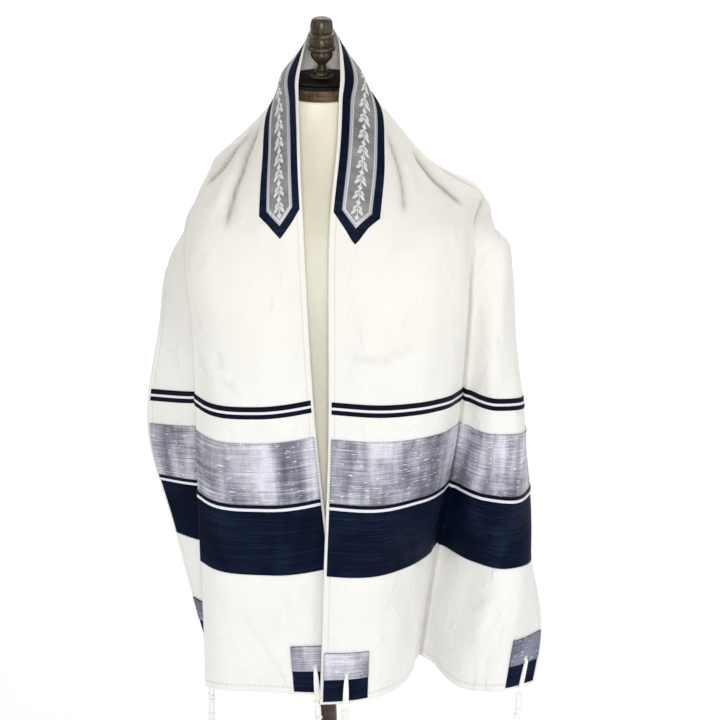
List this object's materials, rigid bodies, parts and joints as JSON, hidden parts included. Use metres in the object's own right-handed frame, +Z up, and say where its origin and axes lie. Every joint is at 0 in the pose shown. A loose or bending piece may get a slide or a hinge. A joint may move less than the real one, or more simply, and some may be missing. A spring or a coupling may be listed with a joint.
{
  "type": "tallit prayer shawl on dress form",
  "caption": "Rectangular prayer shawl with a pointed neck band, navy and grey bands, corner patches and knotted fringes, draped open-fronted over a limbless dress form on a turned stand.",
  "frame": {"origin": "centre of the stand base's underside, on the form's axis", "axes": "+Z up along the pole, +Y from the open front to the back, +X to the left side of the form, which is the right side of the picture"},
  "size_m": [0.5861, 0.3302, 1.459],
  "materials": {
    "shawl_cloth": "soft matte woven",
    "navy_silk": "slubbed silk",
    "grey_silk": "slubbed silk with white embroidery",
    "form_linen": "plain woven cover",
    "form_wood": "satin",
    "form_black": "matte",
    "ribbon": "ribbed ribbon, navy and white",
    "tzitzit_wool": "spun wool cord"
  },
  "bodies": {
    "root": {"shawl": "shawl_cloth", "atara_border": "navy_silk", "atara_ground": "grey_silk", "triple_ribbon_left": "ribbon", "grey_band_left": "grey_silk", "thin_ribbon_left": "ribbon", "navy_band_left": "navy_silk", "patch_navy_left_near": "navy_silk", "patch_grey_left_near": "grey_silk", "tzitzit_left_near": "tzitzit_wool", "patch_navy_left_far": "navy_silk", "patch_grey_left_far": "grey_silk", "tzitzit_left_far": "tzitzit_wool", "triple_ribbon_right": "ribbon", "grey_band_right": "grey_silk", "thin_ribbon_right": "ribbon", "navy_band_right": "navy_silk", "patch_navy_right_near": "navy_silk", "patch_grey_right_near": "grey_silk", "tzitzit_right_near": "tzitzit_wool", "patch_navy_right_far": "navy_silk", "patch_grey_right_far": "grey_silk", "tzitzit_right_far": "tzitzit_wool", "torso": "form_linen", "neck_ring": "form_wood", "neck_cap": "form_black", "finial": "form_wood", "pole": "form_wood", "base": "form_wood"}
  },
  "joints": []
}
